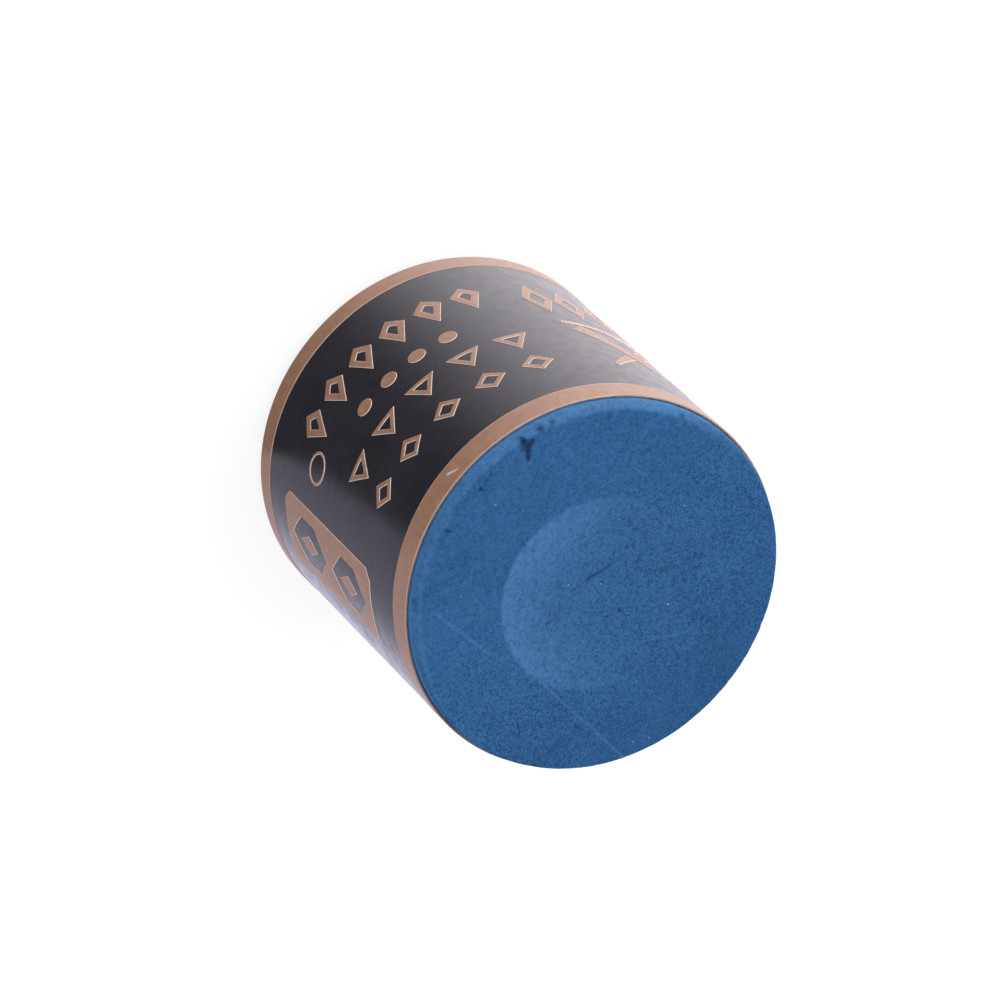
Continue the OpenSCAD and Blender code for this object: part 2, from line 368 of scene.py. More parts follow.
def dish_depth(flat):
    """Depth of the tip dish: a shallow bowl, not quite round, with a soft rim and a faint burr."""
    away = flat - [DISH_X, DISH_Y]
    turn = np.arctan2(away[:, 1], away[:, 0])
    edge = DISH_R + 0.05 * np.sin(2 * turn + 0.7) + 0.03 * np.sin(5 * turn)
    reach = np.linalg.norm(away, axis=1) * DISH_R / edge
    bowl_r = (DISH_R ** 2 + DISH_DEPTH ** 2) / (2 * DISH_DEPTH)
    drop = np.sqrt(np.maximum(bowl_r ** 2 - reach ** 2, 0)) - (bowl_r - DISH_DEPTH)
    soft = 0.03
    depth = 0.5 * (drop + np.sqrt(drop ** 2 + soft ** 2))
    burr = 0.012 * np.exp(-(((reach - DISH_R - 0.16) / 0.13) ** 2))
    return depth - burr


def rubbed_and_lit_side(flat):
    """How pale the dish is painted: rubbed pale all over, and paler towards one side, partly from rubbing
    and partly as a painted highlight on its lit slope.
    """
    away = flat - [DISH_X, DISH_Y]
    reach = np.linalg.norm(away, axis=1)
    side = facing(away, (0.7, 0.7))
    inside = 1 - smooth(reach, DISH_R - 0.12, DISH_R + 0.1)
    return inside * (0.25 + 0.75 * smooth(reach / DISH_R, 0.15, 0.95) * smooth(side, -0.5, 0.7))


def scattered_dents(points, places, radii, depths):
    """Depth of many small round dents."""
    total = np.zeros(len(points))
    for place, radius, depth in zip(places, radii, depths):
        near = np.abs(points[:, 0] - place[0]) < 3 * radius
        gap2 = ((points[near] - place) ** 2).sum(1)
        total[near] += depth * np.exp(-gap2 / radius ** 2)
    return total


def round_places(reach, turn, z):
    """Points at distances from the axis and angles from +X in radians, at one height or several."""
    return np.stack([reach * np.cos(turn), reach * np.sin(turn), np.broadcast_to(z, reach.shape)], 1)


def random_dents(points):
    """Pits in both ends, nicks in the shoulder, and crumbs lost along the shoulder's inner edge."""
    spread = np.sqrt(rng.random(PIT_COUNT)) * (CHALK_R - 0.5)
    turn = rng.random(PIT_COUNT) * 2 * math.pi
    z = np.where(np.arange(PIT_COUNT) % 3 == 0, 0.0, CHALK_H)
    radii = 0.045 + 0.06 * rng.random(PIT_COUNT) ** 2
    pits = scattered_dents(points, round_places(spread, turn, z), radii, 0.35 * radii)

    turn = rng.random(NICK_COUNT) * 2 * math.pi
    reach = CHALK_R - 0.05 - 0.5 * rng.random(NICK_COUNT)
    radii = 0.08 + 0.12 * rng.random(NICK_COUNT)
    nicks = scattered_dents(points, round_places(reach, turn, CHALK_H - 0.12), radii, 0.28 * radii)

    from_front = np.radians(rng.uniform(-CRUMB_SPAN / 2, CRUMB_SPAN / 2, CRUMB_COUNT) + CRUMB_AT)
    reach = CHALK_R - 1.55 * SHOULDER_R + 0.06 * rng.standard_normal(CRUMB_COUNT)
    radii = 0.04 + 0.05 * rng.random(CRUMB_COUNT)
    places = round_places(reach, from_front - math.pi / 2, CHALK_H)
    crumbs = scattered_dents(points, places, radii, 0.25 * radii)
    return pits + nicks + crumbs


def shoulder_wear(points):
    """How crumbly the shoulder is, and how pale: dust, plus a painted highlight on its lit side, from 0 to
    1.
    """
    flat = points[:, :2]
    worn = worn_round(flat)
    reach = np.linalg.norm(flat, axis=1)
    crumbly = smooth(reach, CHALK_R - 1.3 * SHOULDER_R, CHALK_R - 0.8 * SHOULDER_R)
    crumbly *= CRISP_SHARE + (1 - CRISP_SHARE) * worn
    ragged = reach + 0.1 * noise_sum(points + 90, (0.3, 1.0), (1.1, 0.8))
    dust_and_highlight = smooth(ragged, CHALK_R - 1.12 * SHOULDER_R, CHALK_R - 0.5 * SHOULDER_R)
    # Painted highlight: paler still towards the side of the shoulder that faces the light
    dust_and_highlight *= worn * (0.55 + 0.45 * smooth(facing(flat, LIT_SHOULDER_SIDE), 0.6, 1.05))
    return crumbly, dust_and_highlight


def far_side(flat):
    """Away from the camera's side: how much grainier the face is there and how much painted shade it gets,
    and how much more painted shade towards the edge opposite the worn side, from 0 to 1.
    """
    away = flat @ on_face(0, -1) / LABEL_R ** 2
    reach = np.linalg.norm(flat, axis=1) / CHALK_R
    return smooth(away, -0.6, 0.35), smooth(-facing(flat, WORN_SIDE) * reach, 0.35, 1.0)


def build_chalk(material):
    """The pressed chalk block: dished face, crumbling shoulder, grain, pits, chips and scratches."""
    points, outward, faces = chalk_skeleton()
    points = crisp_edge(points)
    flat = points[:, :2]
    on_top = smooth(points[:, 2], LABEL_TOP - 0.2, CHALK_H - SHOULDER_R)
    on_base = smooth(-points[:, 2], -FOOT_BEVEL - 0.1, -FOOT_BEVEL / 2)
    crumbly, dust_and_highlight = shoulder_wear(points)
    coarse_and_shaded, shade = far_side(flat)

    grain = noise_sum(points, (0.15, 0.0065), (0.34, 0.006), (0.9, 0.006), (3.1, 0.008))
    crumble = np.abs(noise_sum(points + 50, (0.22, 0.016), (0.5, 0.022), (1.4, 0.02)))
    jitter = 0.08 * noise_sum(points + 20, (0.16, 1.0), (0.4, 0.6))
    sway = 0.08 * noise_sum(points + 70, (0.2, 1.0), (0.5, 0.6))
    wobbled = points + np.stack([jitter, sway, np.zeros(len(points))], 1)
    strokes = sum(depth * stroke_share(wobbled[:, :2], on_face(*start), on_face(*end), width, 0.45)
                  for start, end, width, depth in FACE_STROKES)

    dents = on_top * strokes + random_dents(wobbled)
    shown = np.maximum(on_top, on_base)
    lift = shown * grain - dents - (on_top * crumbly + 0.5 * on_base) * crumble
    placed = points + outward * lift[:, None]
    flat_top = (outward[:, 2] > 0.999) & (points[:, 2] > CHALK_H / 2)
    placed[flat_top, 2] -= dish_depth(flat[flat_top])
    placed[:, 2] = np.clip(placed[:, 2], 0.0, None)

    # Painted shade: dents and the low spots of the grain are painted darker the deeper they are
    cavity_shade = np.clip(dents / 0.05 + np.clip(-grain, 0, None) / 0.05, 0, 1)
    scored = on_top * sum(stroke_share(flat + 0.4 * sway[:, None], on_face(*start), on_face(*end), 0.055)
                          for start, end in HAIRLINES)
    attributes = {"cavity_shade": cavity_shade, "dust_and_highlight": on_top * dust_and_highlight, "rubbed": on_top * rubbed_and_lit_side(flat),
                  "scored": scored, "coarse_and_shaded": coarse_and_shaded, "shade": on_top * shade}
    return mesh_piece("chalk_body", placed, faces, material, ["chalk_block"], attributes)


# ---------------------------------------------------------------- label and glue

def paper_relief(angle, z):
    """How far the wrapped paper stands off a true cylinder, which its foil follows."""
    points = on_cylinder(angle, LABEL_R, z).reshape(-1, 3)
    relief = noise_sum(points, (2.6, 0.004), (6.5, 0.008))
    return relief.reshape(np.broadcast(angle, z).shape)


def climb(angle):
    """How far the strip has stepped out over its own inner end, from 0 to the full lap."""
    return (LAP_IN - PAPER_IN) * smooth(angle, CLIMB_START, CLIMB_END)


def askew(angle):
    """How far the wrap's top edge dips at the back, and at the corner of its outer end."""
    back = 0.5 - 0.5 * np.cos(np.radians(angle - CAMERA_SIDE))
    corner = smooth(angle, OUTER_END - 1.6, OUTER_END)
    lap = smooth(angle, CLIMB_END - 1.5, CLIMB_END + 1.5)
    return 0.10 * back + 0.15 * lap + 0.2 * corner ** 2


def wrapped_sheet(start, end, step, low, high, rows, inner, thickness, edge, wobble):
    """Thin sheet wrapped round the chalk from one angle to another, as an outer and an inner grid.

    Its step is in degrees. Its edges are rounded off, and wobble up and down a little.
    """
    stations = int(round((end - start) / step)) + 1
    angle = np.linspace(start, end, stations)[:, None]
    share = np.linspace(0, 1, rows - 4)
    height = np.concatenate([[0, 0.35 * edge], edge + share * (high - low - 2 * edge),
                             [high - low - 0.35 * edge, high - low]])[None, :]
    rim_points = on_cylinder(angle, LABEL_R, low).reshape(-1, 3)
    low_wave = wobble * lattice_noise(rim_points, cell=1.3, seed=40)[:, None]
    high_wave = wobble * lattice_noise(rim_points, cell=1.1, seed=41)[:, None] - askew(angle)
    share_up = height / (high - low)
    z = low + height + low_wave * (1 - share_up) + high_wave * share_up
    full = np.minimum(height, high - low - height) / edge
    round_off = np.sqrt(np.clip(1 - (1 - np.clip(full, 0, 1)) ** 2, 0.02, 1))
    ends = np.minimum(angle - start, end - angle) / (2 * step)
    round_off = round_off * np.clip(ends, 0.35, 1)
    middle = inner + thickness / 2 + climb(angle) + paper_relief(angle, z)
    outer_grid = on_cylinder(angle, middle + thickness / 2 * round_off, z)
    inner_grid = on_cylinder(angle, middle - thickness / 2 * round_off, z)
    vertices = np.concatenate([outer_grid.reshape(-1, 3), inner_grid.reshape(-1, 3)])
    return vertices, sheet_faces(stations, rows)


LABEL_ROWS = 46


def build_label(material):
    """One strip of black paper, wrapped round the chalk and lapped over its own end."""
    vertices, faces = wrapped_sheet(INNER_END, OUTER_END, step=0.75, low=LABEL_FOOT, high=LABEL_TOP,
                                    rows=LABEL_ROWS, inner=PAPER_IN, thickness=PAPER_T,
                                    edge=0.05, wobble=0.012)
    # The raw edge: the first and last rows outside, and a strip along both edges inside
    z = vertices[:, 2]
    index = np.arange(len(vertices))
    inner = index >= len(vertices) // 2
    from_edge = np.minimum(np.abs(z - LABEL_FOOT), np.abs(z - LABEL_TOP))
    row = index % LABEL_ROWS
    cut = np.where(inner, from_edge < 0.4, (row == 0) | (row == LABEL_ROWS - 1))
    return mesh_piece("label_paper", vertices, faces, material, ["label_wrap"],
                      {"cut_edge": cut})


def build_glue(material):
    """The glue behind the paper, and the strip of glue under the lap, with its small squeeze-out."""
    low, high = glue_low[2], glue_high[2]
    layer = {"low": low, "high": high, "inner": CHALK_R, "thickness": GLUE_T,
             "edge": 0.01, "wobble": 0.08}
    turn_v, turn_f = wrapped_sheet(INNER_END, INNER_END + 359.4, step=1.5, rows=12, **layer)
    lap_v, lap_f = wrapped_sheet(INNER_END + 360, OUTER_END - 0.25, step=0.5, rows=24, **layer)
    lap_f = (np.array(lap_f) + len(turn_v)).tolist()
    vertices = np.concatenate([turn_v, lap_v])
    return mesh_piece("label_glue", vertices, turn_f + lap_f, material, ["adhesive_layer"])


# ---------------------------------------------------------------- foil

FOIL_T = 0.03
BAND_START = SEAM_AT + 0.5
# A short diagonal scratch in the top band, as (distance along the label, height) of its ends
BAND_NICK = (2.48, LABEL_TOP - 1.08), (1.94, LABEL_TOP - 0.68)
NICK_W, NICK_DEPTH = 0.065, 0.03


def build_band(name, node, material):
    """Copper band that follows the paper round, up the step and over the lap."""
    low, high = span_mm(node)
    vertices, faces = wrapped_sheet(BAND_START, OUTER_END - 0.15, step=0.4, low=low[2], high=high[2],
                                    rows=27, inner=LABEL_R - FOIL_T, thickness=2 * FOIL_T,
                                    edge=0.05, wobble=0.01)
    z = vertices[:, 2]
    # Painted highlight along the band's top and bottom edges; its scratch is drawn pale in the same
    # attribute
    rim = 1 - smooth(np.minimum(z - low[2], high[2] - z), 0.02, 0.09)
    turn = np.arctan2(vertices[:, 0], -vertices[:, 1])
    nick = stroke_share(np.stack([turn * LABEL_R, z], 1), *BAND_NICK, NICK_W, 0.3)
    vertices[:, :2] *= (1 - NICK_DEPTH * nick / LABEL_R)[:, None]
    return mesh_piece(name, vertices, faces, material, [node],
                      {"rim": np.maximum(0.3 * rim, nick)})


# Half of a stamped mark's thickness is sunk in the paper: a short wall, then a rounded rim.
FILM_WALL = 0.01
FILM_ROUND = 0.055
FILM_FLATTEN = 0.65
SLICE = 0.12  # a mark is cut this often along the label, so that it bends smoothly round it


def flat_film(name, loops):
    """Film with a rounded rim, from closed loops in (distance along the label, height)."""
    curve = bpy.data.curves.new(name, "CURVE")
    curve.dimensions = "2D"
    curve.fill_mode = "BOTH"
    curve.extrude = FILM_WALL
    curve.bevel_depth = FILM_ROUND
    curve.bevel_resolution = 2
    curve.offset = -FILM_ROUND
    for loop in loops:
        spline = curve.splines.new("POLY")
        spline.points.add(len(loop) - 1)
        for point, (x, y) in zip(spline.points, loop):
            point.co = (x, y, 0, 1)
        spline.use_cyclic_u = True
    flat = add_object(name + "_flat", curve)
    bpy.context.view_layer.update()
    mesh = bpy.data.meshes.new_from_object(flat.evaluated_get(bpy.context.evaluated_depsgraph_get()))
    bpy.data.objects.remove(flat)
    bpy.data.curves.remove(curve)
    mesh.name = name
    return mesh


def cut_in_slices(mesh):
    """Cuts a film square to the label's length, and clears away what is too small to matter."""
    work = bmesh.new()
    work.from_mesh(mesh)
    bmesh.ops.remove_doubles(work, verts=work.verts, dist=1e-4)
    first = min(v.co.x for v in work.verts)
    last = max(v.co.x for v in work.verts)
    for i in range(1, int((last - first) / SLICE) + 1):
        everything = work.verts[:] + work.edges[:] + work.faces[:]
        bmesh.ops.bisect_plane(work, geom=everything, dist=1e-5, plane_co=(first + i * SLICE, 0, 0),
                               plane_no=(1, 0, 0))
    bmesh.ops.dissolve_degenerate(work, dist=1e-4, edges=work.edges)
    bmesh.ops.recalc_face_normals(work, faces=work.faces)
    work.to_mesh(mesh)
    work.free()


def build_marks(name, node, loops, material):
    """Foil marks, cut flat and then bent round the label, half sunk in the paper."""
    mesh = flat_film(name, loops)
    cut_in_slices(mesh)
    co = np.zeros(len(mesh.vertices) * 3)
    mesh.vertices.foreach_get("co", co)
    co = co.reshape(-1, 3)
    angle = np.degrees(co[:, 0] / LABEL_R)
    radius = LABEL_R + co[:, 2] * FILM_FLATTEN + paper_relief(angle, co[:, 1])
    mesh.vertices.foreach_set("co", (on_cylinder(angle, radius, co[:, 1]) * MM).ravel())
    # Painted highlight on the rounded rim of each mark, fading out towards its top
    rim = mesh.attributes.new("rim", "FLOAT", "POINT")
    rim_highlight_share = 1 - smooth(co[:, 2] / (FILM_WALL + FILM_ROUND), 0.5, 1)
    rim.data.foreach_set("value", rim_highlight_share.astype(np.float32))
    # The curve leaves a UV map that nothing uses
    for key in [a.name for a in mesh.attributes if a.name.startswith("UV")]:
        mesh.attributes.remove(mesh.attributes[key])
    mesh.materials.clear()
    piece = finish_piece(name, mesh, material, [node])
    weighted = piece.modifiers.new("weighted_normals", "WEIGHTED_NORMAL")
    weighted.weight = 90
    return piece


def moved(loop, x, y, scale=1.0):
    """A loop scaled about its origin, then moved."""
    return [(x + scale * px, y + scale * py) for px, py in loop]


def turned(loop, degrees):
    """A loop turned about its origin."""
    c, s = math.cos(math.radians(degrees)), math.sin(math.radians(degrees))
    return [(c * x - s * y, s * x + c * y) for x, y in loop]


def along(degrees):
    """Distance along the label of an angle from its front."""
    return math.radians(degrees) * LABEL_R


def lozenge(w, h):
    return [(-w / 2, 0), (0, -h / 2), (w / 2, 0), (0, h / 2)]


def disc(diameter, count=48):
    turn = [2 * math.pi * i / count for i in range(count)]
    return [(diameter / 2 * math.cos(t), diameter / 2 * math.sin(t)) for t in turn]


def outlined_lozenge(w, h, stroke):
    """Outlined lozenge: its inner edge is a copy scaled about its middle."""
    k = 1 - 2 * stroke * math.hypot(w, h) / (w * h)
    return [lozenge(w, h), lozenge(w * k, h * k)]


def outlined_triangle(w, h, stroke):
    """Outlined triangle: its inner edge is a copy scaled about the centre of its inscribed circle."""
    r = w * h / (w + 2 * math.hypot(w / 2, h))
    shape = [(-w / 2, -r), (w / 2, -r), (0, h - r)]
    return [moved(shape, 0, r - h / 2, k) for k in (1, 1 - stroke / r)]


def outlined_kite(w, h, stroke):
    """Outlined kite like the inlaid points of a cue butt, widest below its middle."""
    belly = -KITE_BELLY * h
    upper, lower = math.hypot(w / 2, h / 2 - belly), math.hypot(w / 2, h / 2 + belly)
    r = w * h / 2 / (upper + lower)
    y = h / 2 - r * upper / (w / 2)
    shape = [(0, h / 2 - y), (-w / 2, belly - y), (0, -h / 2 - y), (w / 2, belly - y)]
    return [moved(shape, 0, y, k) for k in (1, 1 - stroke / r)]


def long_hexagon(w, h):
    """Upright hexagon whose pointed ends slope at 45 degrees."""
    flat = h / 2 - w / 2
    return [(0, h / 2), (-w / 2, flat), (-w / 2, -flat), (0, -h / 2), (w / 2, -flat), (w / 2, flat)]


def cut_panel(w, h, cut):
    """Upright rectangle with its corners cut off."""
    x, y = w / 2, h / 2
    return [(cut - x, -y), (x - cut, -y), (x, cut - y), (x, y - cut),
            (x - cut, y), (cut - x, y), (-x, y - cut), (-x, cut - y)]


def cue(length, butt_w, tip_w, start=0.0, end=1.0):
    """Stretch of a tapered cue along Y, from a wide butt at the bottom to a narrow tip at the top."""
    def half(share):
        return (butt_w + (tip_w - butt_w) * share) / 2
    low, high = (start - 0.5) * length, (end - 0.5) * length
    return [(-half(start), low), (half(start), low), (half(end), high), (-half(end), high)]


def spread_about(middle, count, pitch):
    """Places at an equal pitch, as many on one side of the middle as on the other."""
    return [middle + (i - (count - 1) / 2) * pitch for i in range(count)]


def row_of(node, shapes, count, pitch, middle=0.0):
    """Loops repeated at equal angles about a middle one, at the height of the CAD node."""
    low, high = span_mm(node)
    z = (low[2] + high[2]) / 2
    return [moved(loop, along(a), z) for a in spread_about(middle, count, pitch) for loop in shapes]


def node_height(node):
    low, high = span_mm(node)
    return high[2] - low[2]


# Sizes in mm, places and pitches round the label in degrees
FINE_STROKE = 0.3
BOLD_STROKE = 0.42
FRAME_STROKE = 0.85
RING_STROKE = 0.16
KITE_BELLY = 0.18  # how far below its middle a kite is widest, as a share of its height
ROW_COUNT, ROW_PITCH = 5, 15
DOT_COUNT, DOT_PITCH = 4, 10.5
POINT_COUNT, POINT_PITCH, POINT_W = 6, 12, 1.75
TRIANGLE_SHAPE = 1.1  # width of a triangle in the second row, in heights
RING_AT = 39.75
TALL_AT = 65
CUES_AT, CUES_Z, RULE_Z = -67, LABEL_TOP - 7.7, LABEL_TOP - 11.1
DIAMOND_COUNT, DIAMOND_PITCH, DIAMOND_W, DIAMOND_H, DIAMOND_Z = 4, 11, 1.9, 4, LABEL_TOP - 14.5
RACK_AT, RACK_Z = -126, LABEL_TOP - 10.6


def lozenge_row():
    h = node_height("lozenge_row_foil")
    return row_of("lozenge_row_foil", outlined_lozenge(h, h, FINE_STROKE), ROW_COUNT, ROW_PITCH)


def triangle_row():
    h = node_height("triangle_row_foil")
    shape = outlined_triangle(TRIANGLE_SHAPE * h, h, FINE_STROKE)
    return row_of("triangle_row_foil", shape, ROW_COUNT, ROW_PITCH)


def dot_row():
    return row_of("dot_row_foil", [disc(node_height("dot_row_foil"))], DOT_COUNT, DOT_PITCH)


def point_row():
    h = node_height("point_row_foil")
    return row_of("point_row_foil", outlined_kite(POINT_W, h, BOLD_STROKE), POINT_COUNT, POINT_PITCH)


def ring_mark():
    d = node_height("ring_mark_foil")
    shapes = [disc(d), disc(d - 2 * RING_STROKE)]
    return row_of("ring_mark_foil", shapes, count=1, pitch=0, middle=RING_AT)


def tall_emblem():
    """Upright panel with two pointed windows, and a lozenge inlaid in each of them."""
    w, h, corner, windows = 4.6, node_height("tall_emblem_foil"), 0.6, 2
    inlay_w, inlay_h = 0.42, 0.5  # shares of a window
    window_w = w - 2 * FRAME_STROKE
    window_h = (h - FRAME_STROKE) / windows - FRAME_STROKE
    shapes = [cut_panel(w, h, corner)]
    for y in spread_about(0, windows, window_h + FRAME_STROKE):
        shapes += [moved(long_hexagon(window_w, window_h), 0, y),
                   moved(lozenge(inlay_w * window_w, inlay_h * window_h), 0, y)]
    return row_of("tall_emblem_foil", shapes, count=1, pitch=0, middle=TALL_AT)


def cues_emblem():
    """Crossed cues, the second broken where the first lies over it, over a rule and four diamonds."""
    w, h, butt, tip, gap = 6.6, 5.8, 1.1, 0.35, 0.2
    lean = math.degrees(math.atan2(w - butt, h))
    length = math.hypot(w - butt, h) - butt / 2
    middle_w = (butt + tip) / 2
    # Half of what the broken cue loses, as a share of its length
    cut = (middle_w + gap) / math.sin(math.radians(2 * lean)) / length
    x = along(CUES_AT)
    loops = [moved(turned(cue(length, butt, tip), lean), x, CUES_Z)]
    for start, end in ((0, 0.5 - cut), (0.5 + cut, 1)):
        loops.append(moved(turned(cue(length, butt, tip, start, end), -lean), x, CUES_Z))
    rule = [(-w / 2, -FINE_STROKE / 2), (w / 2, -FINE_STROKE / 2),
            (w / 2, FINE_STROKE / 2), (-w / 2, FINE_STROKE / 2)]
    loops.append(moved(rule, x, RULE_Z))
    diamond = outlined_lozenge(DIAMOND_W, DIAMOND_H, BOLD_STROKE)
    for angle in spread_about(CUES_AT, DIAMOND_COUNT, DIAMOND_PITCH):
        loops += [moved(loop, along(angle), DIAMOND_Z) for loop in diamond]
    return loops


def rack_emblem():
    """A rack of fifteen balls in a thin triangular frame."""
    rows, pitch, ball, gap = 5, 1.3, 1.15, 0.35
    rise = pitch * math.sqrt(3) / 2
    x = along(RACK_AT)
    loops = [moved(disc(ball, 32), x + (i - row / 2) * pitch, RACK_Z + ((rows - 1) / 2 - row) * rise)
             for row in range(rows) for i in range(row + 1)]
    inscribed_r = (rows - 1) * pitch / (2 * math.sqrt(3)) + ball / 2 + gap + FINE_STROKE
    h = 3 * inscribed_r
    # A triangle's centre is a sixth of its height below its middle, in the rack and in its frame
    lift = h / 6 - (rows - 1) * rise / 6
    frame_loops = outlined_triangle(h * 2 / math.sqrt(3), h, FINE_STROKE)
    return loops + [moved(loop, x, RACK_Z + lift) for loop in frame_loops]


# ---------------------------------------------------------------- materials

class Graph:
    """Short calls that build a node tree."""

    def __init__(self, tree):
        self.tree = tree
        tree.nodes.clear()

    def add(self, kind, inputs=None, **settings):
        node = self.tree.nodes.new(kind)
        for key, value in settings.items():
            setattr(node, key, value)
        for key, value in (inputs or {}).items():
            if isinstance(value, bpy.types.NodeSocket):
                self.tree.links.new(value, node.inputs[key])
            else:
                node.inputs[key].default_value = value
        return node

    def math(self, operation, a, b=0.0):
        return self.add("ShaderNodeMath", {0: a, 1: b}, operation=operation).outputs[0]

    def plus(self, a, b):
        return self.math("ADD", a, b)

    def times(self, a, b):
        return self.math("MULTIPLY", a, b)

    def turn(self, vector):
        """Angle of a direction in radians, from the front (-Y) towards +X."""
        x, y, _ = self.parts(vector)
        return self.math("ARCTAN2", x, self.times(y, -1.0))

    def ramp(self, value, low, high, to_low=0.0, to_high=1.0):
        """Easy slope from to_low, where value is low, to to_high, where it is high."""
        inputs = {"Value": value, "From Min": low, "From Max": high, "To Min": to_low, "To Max": to_high}
        return self.add("ShaderNodeMapRange", inputs, interpolation_type="SMOOTHSTEP").outputs[0]

    def mix(self, factor, a, b):
        """Colour from a to b."""
        return self.add("ShaderNodeMix", {0: factor, 6: a, 7: b}, data_type="RGBA").outputs[2]

    def noise(self, vector, scale, detail=2.0, roughness=0.5, distortion=0.0):
        inputs = {"Vector": vector, "Scale": scale, "Detail": detail, "Roughness": roughness,
                  "Distortion": distortion}
        return self.add("ShaderNodeTexNoise", inputs).outputs["Fac"]

    def cells(self, vector, scale):
        """Distance to the nearest of many scattered points."""
        return self.add("ShaderNodeTexVoronoi", {"Vector": vector, "Scale": scale}).outputs["Distance"]

    def attribute(self, name):
        return self.add("ShaderNodeAttribute", attribute_name=name).outputs["Fac"]

    def scaled(self, vector, factors):
        return self.add("ShaderNodeVectorMath", {0: vector, 1: factors}, operation="MULTIPLY").outputs[0]

    def parts(self, vector):
        return self.add("ShaderNodeSeparateXYZ", {0: vector}).outputs

    def blend(self, factor, a, b):
        """Shader from a to b."""
        return self.add("ShaderNodeMixShader", {0: factor, 1: a, 2: b}).outputs[0]

    def bump(self, height, distance, strength=1.0):
        inputs = {"Height": height, "Distance": distance, "Strength": strength}
        return self.add("ShaderNodeBump", inputs).outputs[0]


def new_material(name):
    material = bpy.data.materials.new(name)
    material.use_nodes = True
    graph = Graph(material.node_tree)
    place = graph.add("ShaderNodeTexCoord").outputs["Object"]
    in_mm = graph.scaled(place, (1 / MM,) * 3)
    return material, graph, in_mm


def surface(graph, inputs):
    """Makes a principled shader the material's surface."""
    shader = graph.add("ShaderNodeBsdfPrincipled", inputs).outputs[0]
    graph.add("ShaderNodeOutputMaterial", {"Surface": shader})


def chalk_material():
    """Pressed powder: fine mottled grain, painted shade in pits and pores, pale dust and painted highlight
    on the shoulder and in the dish.
    """
    material, g, mm = new_material("pressed_chalk")
    fine = g.noise(mm, 8.6, 2.0, 0.7)
    grain = g.noise(mm, 4.4, 2.0, 0.6)
    clouds = g.noise(mm, 0.4, 3.0, 0.6)
    pores = g.cells(mm, 4.6)
    pore_size = g.noise(mm, 0.8, 2.0)
    pore = g.times(g.ramp(pores, 0.24, 0.06), g.ramp(pore_size, 0.50, 0.70))

    deep = (0.009, 0.060, 0.178, 1)
    body = (0.024, 0.119, 0.302, 1)
    pale = (0.082, 0.228, 0.472, 1)
    painted_hollow_shade = (0.008, 0.030, 0.085, 1)
    light_dust = (0.38, 0.55, 0.72, 1)
    # Grain and mottling, stronger on the far side, where painted shade also darkens the face
    coarse_and_shaded = g.attribute("coarse_and_shaded")
    strong = g.plus(g.times(coarse_and_shaded, 0.65), 0.35)
    colour = g.mix(g.times(g.ramp(grain, 0.54, 0.36), g.plus(strong, 0.2)), body, deep)
    colour = g.mix(g.ramp(g.noise(mm, 2.0, 2.0, 0.6), 0.36, 0.62, 0.34, 0.0), colour, deep)
    colour = g.mix(g.times(g.ramp(fine, 0.46, 0.62, 0.0, 0.62), strong), colour, pale)
    colour = g.mix(g.times(g.ramp(fine, 0.44, 0.32, 0.0, 0.7), strong), colour, deep)
    colour = g.mix(g.times(coarse_and_shaded, 0.30), colour, deep)
    colour = g.mix(g.times(g.attribute("shade"), 0.36), colour, deep)
    # Hairlines, faint clouds, the rubbed side of the dish and the dust on the shoulder, both also paler as
    # painted highlight on their lit sides
    colour = g.mix(g.times(g.attribute("scored"), 0.42), colour, pale)
    colour = g.mix(g.ramp(clouds, 0.35, 0.70, 0.0, 0.09), colour, pale)
    # Partly painted highlight: the dish is paler on its lit slope as well as where it is rubbed
    rubbed = g.times(g.attribute("rubbed"), g.ramp(grain, 0.3, 0.6, 0.26, 0.50))
    colour = g.mix(rubbed, colour, pale)
    dust_and_highlight = g.times(g.attribute("dust_and_highlight"), g.ramp(grain, 0.30, 0.60, 0.60, 0.92))
    colour = g.mix(dust_and_highlight, colour, pale)
    # Painted shade in pits, dents and pores, and loose specks
    hollow_shade = g.math("MAXIMUM", g.attribute("cavity_shade"), g.times(pore, 0.3))
    colour = g.mix(g.times(hollow_shade, 0.78), colour, painted_hollow_shade)
    specks = g.cells(mm, 1.25)
    speck = g.times(g.ramp(specks, 0.075, 0.04), g.ramp(g.noise(mm, 0.8, 0.0), 0.64, 0.68))
    colour = g.mix(g.times(speck, 0.7), colour, light_dust)

    height = g.plus(g.times(fine, 0.8), grain)
    height = g.math("SUBTRACT", height, g.times(pore, 0.7))
    normal = g.bump(height, 0.02 * MM, 1.0)
    surface(g, {
        "Base Color": colour, "Roughness": g.ramp(fine, 0.3, 0.7, 0.86, 1.0), "IOR": 1.35,
        "Specular IOR Level": 0.18, "Diffuse Roughness": 1.0, "Sheen Weight": 0.12,
        "Sheen Roughness": 0.5, "Sheen Tint": (0.55, 0.70, 0.90, 1), "Normal": normal,
    })
    return material


